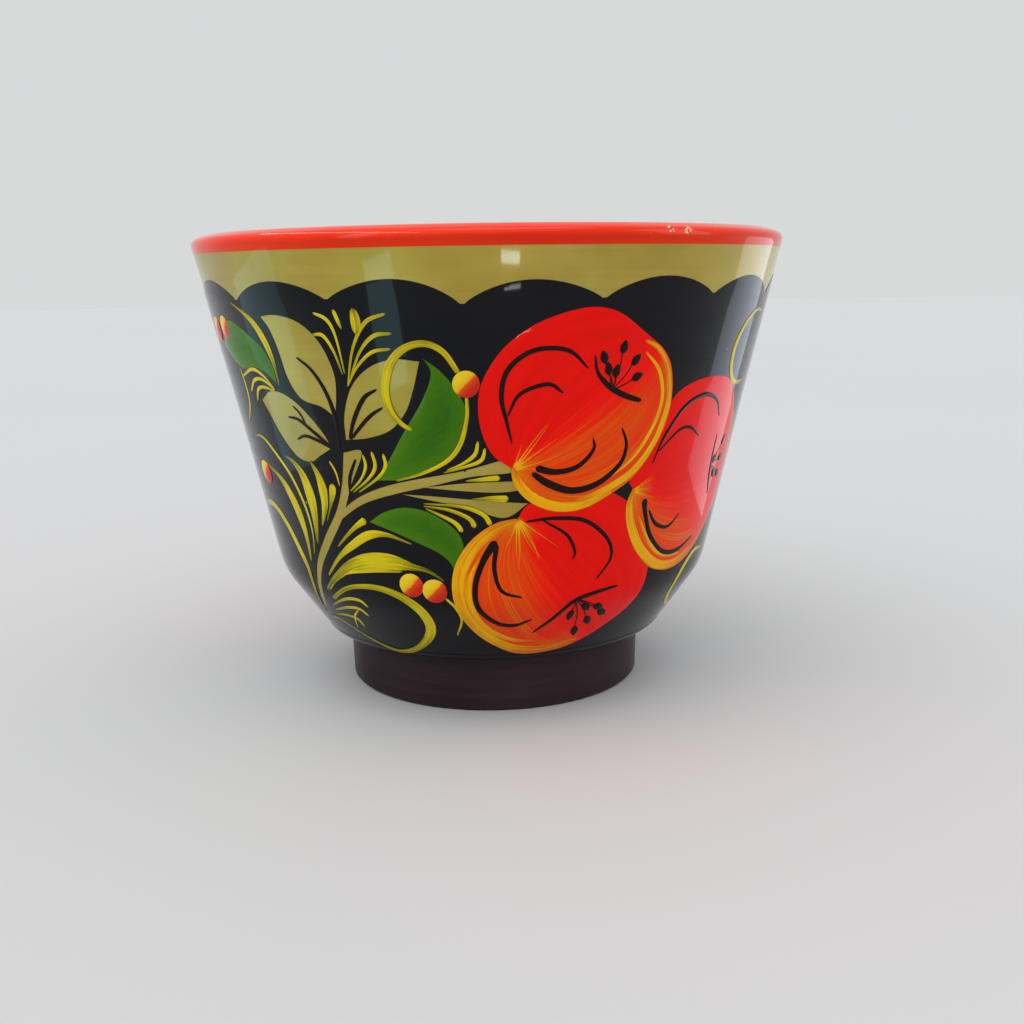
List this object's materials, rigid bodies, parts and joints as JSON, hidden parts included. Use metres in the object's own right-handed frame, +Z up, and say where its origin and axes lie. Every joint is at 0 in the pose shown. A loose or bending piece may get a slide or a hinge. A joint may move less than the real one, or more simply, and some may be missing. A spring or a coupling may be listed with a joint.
{
  "type": "painted turned wooden bowl",
  "caption": "Small deep turned wooden bowl on a low foot, black-ground floral painting with fruit and leaves, gold scalloped border and a red lip and lining.",
  "frame": {"origin": "centre of the foot's resting ring, on the surface it stands on", "axes": "+Z up along the turning axis, -Y out through the middle of the front bouquet, +X to its right"},
  "size_m": [0.1054, 0.1054, 0.0819],
  "materials": {
    "lime_wood": "bare turned lime wood, only the foot's resting ring shows",
    "clay_primer": "clay and linseed-oil primer, hidden under the colour coats",
    "lacquered_metal_powder": "metal powder under baked amber lacquer, gloss, old-gold colour with fine lathe lines",
    "red_enamel": "red oil enamel under clear lacquer, gloss",
    "black_foot_enamel": "black oil enamel, satin",
    "black_ground": "black background paint under clear lacquer, high gloss",
    "fruit_paint": "red to orange to yellow brushed oil paint under clear lacquer",
    "dark_line_paint": "dark brown-black brush lines under clear lacquer",
    "green_paint": "leaf-green brushed oil paint under clear lacquer",
    "yellow_paint": "yellow brushed oil paint under clear lacquer"
  },
  "bodies": {
    "root": {"turned_wood_body": "lime_wood", "clay_primer": "clay_primer", "metal_powder_coat": "lacquered_metal_powder", "red_lip_and_lining": "red_enamel", "black_foot_enamel": "black_foot_enamel", "black_recess_enamel": "black_foot_enamel", "black_ground": "black_ground", "back_berries": "fruit_paint", "back_curl_lower": "yellow_paint", "back_curl_side": "yellow_paint", "back_curl_upper": "yellow_paint", "back_fruit_lines": "dark_line_paint", "back_fruit_lower": "fruit_paint", "back_fruit_right": "fruit_paint", "back_fruit_upper": "fruit_paint", "back_grass_strokes": "yellow_paint", "back_green_leaf_lower": "green_paint", "back_green_leaf_side": "green_paint", "back_green_leaf_upper": "green_paint", "back_yellow_leaf_1": "yellow_paint", "back_yellow_leaf_2": "yellow_paint", "back_yellow_leaf_3": "yellow_paint", "back_yellow_leaf_4": "yellow_paint", "back_yellow_leaf_5": "yellow_paint", "back_yellow_leaf_6": "yellow_paint", "front_berries": "fruit_paint", "front_curl_lower": "yellow_paint", "front_curl_side": "yellow_paint", "front_curl_upper": "yellow_paint", "front_fruit_lines": "dark_line_paint", "front_fruit_lower": "fruit_paint", "front_fruit_right": "fruit_paint", "front_fruit_upper": "fruit_paint", "front_grass_strokes": "yellow_paint", "front_green_leaf_lower": "green_paint", "front_green_leaf_side": "green_paint", "front_green_leaf_upper": "green_paint", "front_yellow_leaf_1": "yellow_paint", "front_yellow_leaf_2": "yellow_paint", "front_yellow_leaf_3": "yellow_paint", "front_yellow_leaf_4": "yellow_paint", "front_yellow_leaf_5": "yellow_paint", "front_yellow_leaf_6": "yellow_paint"}
  },
  "joints": []
}
